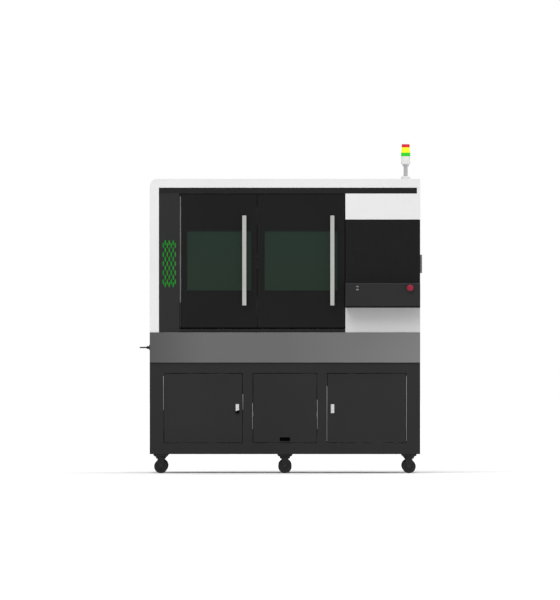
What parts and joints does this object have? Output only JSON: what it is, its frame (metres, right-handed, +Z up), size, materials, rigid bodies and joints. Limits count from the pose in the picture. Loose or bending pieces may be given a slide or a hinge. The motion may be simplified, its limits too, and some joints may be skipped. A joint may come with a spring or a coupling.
{
  "type": "laser cutting machine",
  "caption": "Enclosed sheet laser cutter on casters: base cabinet with doors and scrap drawer, grey bed, white hood, folding glazed door, control console and signal tower.",
  "frame": {"origin": "on the floor under the centre of the cabinet's footprint", "axes": "+Z up, front towards -Y, +X to the right seen from the front"},
  "size_m": [1.779, 1.4843, 2.07],
  "materials": {
    "dark_paint": "satin powder coat",
    "bed_paint": "satin grey paint",
    "white_paint": "satin powder coat",
    "black_paint": "satin powder coat",
    "black_glass": "gloss",
    "green_glass": "laser filter glass",
    "satin_metal": "brushed",
    "hinge_steel": "brushed",
    "rail_steel": "ground",
    "slat_steel": "raw",
    "zinc_sheet": "galvanised",
    "chrome": "polished",
    "beam_aluminium": "anodised",
    "unit_paint": "textured powder coat",
    "head_black": "black anodised",
    "caster_black": "black",
    "wheel_black": "matt",
    "red_plastic": "gloss",
    "housing_white": "matt",
    "lens_green": "translucent",
    "lens_yellow": "translucent",
    "lens_red": "translucent",
    "light_green": "lit diffuser",
    "port_metal": "bright"
  },
  "bodies": {
    "cabinet": {"base_frame": "dark_paint", "base_fascia": "dark_paint", "base_skin": "dark_paint", "base_hinges": "rail_steel", "drawer_rails": "rail_steel", "chiller": "unit_paint", "laser_source": "unit_paint", "bed_frame": "bed_paint", "hopper": "zinc_sheet", "slat_rack": "zinc_sheet", "bed_slats": "slat_steel", "roof_shell": "white_paint", "right_wall": "white_paint", "back_wall": "white_paint", "header_track": "black_paint", "sill_track": "black_paint", "vent_column": "dark_paint", "vent_light": "light_green", "partitions": "zinc_sheet", "head_panel": "white_paint", "monitor_panel": "black_glass", "lower_panel": "white_paint", "console": "dark_paint", "usb_ports": "port_metal", "jamb_hinge": "hinge_steel", "tower_base": "satin_metal", "tower_housing": "housing_white", "tower_lens_green": "lens_green", "tower_lens_yellow": "lens_yellow", "tower_lens_red": "lens_red", "gas_inlet": "rail_steel", "exhaust_spigot": "zinc_sheet", "y_rails": "rail_steel", "caster_brackets": "caster_black"},
    "left_leaf": {"door_leaf_left": "black_paint", "window_left": "green_glass", "handle_left": "satin_metal", "left_leaf_hinges": "hinge_steel"},
    "right_leaf": {"door_leaf_right": "black_paint", "window_right": "green_glass", "handle_right": "satin_metal", "right_leaf_hinges": "hinge_steel"},
    "left_base_door": {"base_door_left": "dark_paint"},
    "right_base_door": {"base_door_right": "dark_paint"},
    "left_latch": {"latch_left": "chrome"},
    "right_latch": {"latch_right": "chrome"},
    "scrap_drawer": {"scrap_drawer_front": "dark_paint", "scrap_bin": "zinc_sheet"},
    "stop_button": {"estop_button": "red_plastic"},
    "service_door": {"side_door": "white_paint", "side_handle": "satin_metal"},
    "gantry": {"gantry_beam": "beam_aluminium"},
    "carriage": {"head_carriage": "beam_aluminium"},
    "lift": {"cutting_head": "head_black"},
    "front_left_wheel": {"caster_wheel_front_left": "wheel_black"},
    "front_middle_wheel": {"caster_wheel_front_middle": "wheel_black"},
    "front_right_wheel": {"caster_wheel_front_right": "wheel_black"},
    "rear_left_wheel": {"caster_wheel_rear_left": "wheel_black"},
    "rear_middle_wheel": {"caster_wheel_rear_middle": "wheel_black"},
    "rear_right_wheel": {"caster_wheel_rear_right": "wheel_black"}
  },
  "joints": [
    {"name": "left_leaf_hinge", "type": "hinge", "parent": "cabinet", "child": "left_leaf", "pos_m": [-0.658, -0.634, 1.4], "axis": [0, 0, -1], "range_deg": [0, 85]},
    {"name": "right_leaf_fold", "type": "hinge", "parent": "left_leaf", "child": "right_leaf", "pos_m": [-0.175, -0.611, 1.4], "axis": [0, 0, -1], "range_deg": [-170, 0]},
    {"name": "left_base_door_hinge", "type": "hinge", "parent": "cabinet", "child": "left_base_door", "pos_m": [-0.747, -0.633, 0.41], "axis": [0, 0, -1], "range_deg": [0, 110]},
    {"name": "right_base_door_hinge", "type": "hinge", "parent": "cabinet", "child": "right_base_door", "pos_m": [0.747, -0.633, 0.41], "axis": [0, 0, 1], "range_deg": [0, 110]},
    {"name": "left_latch_turn", "type": "hinge", "parent": "left_base_door", "child": "left_latch", "pos_m": [-0.299, -0.642, 0.406], "axis": [0, -1, 0], "range_deg": [0, 90]},
    {"name": "right_latch_turn", "type": "hinge", "parent": "right_base_door", "child": "right_latch", "pos_m": [0.299, -0.642, 0.406], "axis": [0, 1, 0], "range_deg": [0, 90]},
    {"name": "scrap_drawer_slide", "type": "slide", "parent": "cabinet", "child": "scrap_drawer", "axis": [0, -1, 0], "range_m": [0, 0.45]},
    {"name": "stop_press", "type": "slide", "parent": "cabinet", "child": "stop_button", "axis": [0, 1, 0], "range_m": [0, 0.005], "stiffness_N_per_m": 600},
    {"name": "service_door_hinge", "type": "hinge", "parent": "cabinet", "child": "service_door", "pos_m": [0.841, 0.274, 1.3], "axis": [0, 0, 1], "range_deg": [0, 110]},
    {"name": "gantry_slide", "type": "slide", "parent": "cabinet", "child": "gantry", "axis": [0, -1, 0], "range_m": [0, 0.76]},
    {"name": "carriage_slide", "type": "slide", "parent": "gantry", "child": "carriage", "axis": [1, 0, 0], "range_m": [0, 0.64]},
    {"name": "head_lift", "type": "slide", "parent": "carriage", "child": "lift", "axis": [0, 0, -1], "range_m": [0, 0.06]},
    {"name": "front_left_wheel_spin", "type": "hinge", "parent": "cabinet", "child": "front_left_wheel", "pos_m": [-0.78, -0.586, 0.0425], "axis": [0, 1, 0], "continuous": true},
    {"name": "front_middle_wheel_spin", "type": "hinge", "parent": "cabinet", "child": "front_middle_wheel", "pos_m": [0, -0.586, 0.0425], "axis": [0, 1, 0], "continuous": true},
    {"name": "front_right_wheel_spin", "type": "hinge", "parent": "cabinet", "child": "front_right_wheel", "pos_m": [0.78, -0.586, 0.0425], "axis": [0, 1, 0], "continuous": true},
    {"name": "rear_left_wheel_spin", "type": "hinge", "parent": "cabinet", "child": "rear_left_wheel", "pos_m": [-0.78, 0.586, 0.0425], "axis": [0, 1, 0], "continuous": true},
    {"name": "rear_middle_wheel_spin", "type": "hinge", "parent": "cabinet", "child": "rear_middle_wheel", "pos_m": [0, 0.586, 0.0425], "axis": [0, 1, 0], "continuous": true},
    {"name": "rear_right_wheel_spin", "type": "hinge", "parent": "cabinet", "child": "rear_right_wheel", "pos_m": [0.78, 0.586, 0.0425], "axis": [0, 1, 0], "continuous": true}
  ],
  "couplings": [
    {"joint": "right_leaf_fold", "follows": "left_leaf_hinge", "ratio": -2}
  ]
}
